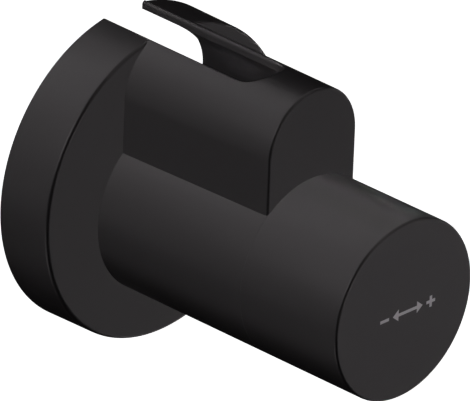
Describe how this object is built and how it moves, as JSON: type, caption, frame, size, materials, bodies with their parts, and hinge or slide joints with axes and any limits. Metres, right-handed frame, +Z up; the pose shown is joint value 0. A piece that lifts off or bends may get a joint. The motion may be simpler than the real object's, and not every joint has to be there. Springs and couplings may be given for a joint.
{
  "type": "lockshield valve",
  "caption": "Satin-black angle lockshield valve for a wall outlet: slip-on cover with round rosette, slotted riser housing and a cylindrical turning handle.",
  "frame": {"origin": "where the valve axis, which is the centre of the inlet tail, meets the wall plane", "axes": "+Y along the valve axis into the wall, -Y towards the handle and the room, +Z up along the riser, +X to the right seen from the room"},
  "size_m": [0.072, 0.098, 0.0729],
  "materials": {
    "satin_black": "satin powder coat",
    "black_plastic": "moulded matt",
    "chrome": "bright chrome plate",
    "brass": "turned",
    "steel": "spring steel",
    "rubber": "matt",
    "ptfe": "smooth white"
  },
  "bodies": {
    "valve": {"valve_body": "chrome", "inlet_seal_ring": "rubber", "outlet_nut": "chrome", "outlet_olive": "brass", "centering_ring": "black_plastic", "grip_oring_rear": "rubber", "grip_oring_front": "rubber", "headwork_body": "brass", "headwork_seal": "rubber"},
    "cover": {"cover_housing": "satin_black", "wall_gasket": "rubber", "handle_retaining_ring": "steel", "handle_bush": "ptfe"},
    "handle": {"handle_shell": "satin_black", "handle_insert": "black_plastic"},
    "spindle": {"spindle": "brass", "spindle_thrust_washer": "ptfe", "spindle_oring_rear": "rubber", "spindle_oring_front": "rubber", "spindle_circlip": "steel"},
    "plug": {"plug_carrier": "brass", "seat_washer": "rubber", "washer_screw": "steel"}
  },
  "joints": [
    {"name": "cover_slide", "type": "slide", "parent": "valve", "child": "cover", "axis": [0, -1, 0], "range_m": [0, 0.08]},
    {"name": "handle_turn", "type": "hinge", "parent": "cover", "child": "handle", "pos_m": [0, 0, 0], "axis": [0, -1, 0], "range_deg": [0, 1080]},
    {"name": "spindle_turn", "type": "hinge", "parent": "valve", "child": "spindle", "pos_m": [0, 0, 0], "axis": [0, -1, 0], "range_deg": [0, 1080]},
    {"name": "plug_lift", "type": "slide", "parent": "valve", "child": "plug", "axis": [0, -1, 0], "range_m": [0, 0.00375]}
  ],
  "couplings": [
    {"joint": "spindle_turn", "follows": "handle_turn", "ratio": 1},
    {"joint": "plug_lift", "follows": "handle_turn", "m_per_rad": 0.00019894}
  ]
}
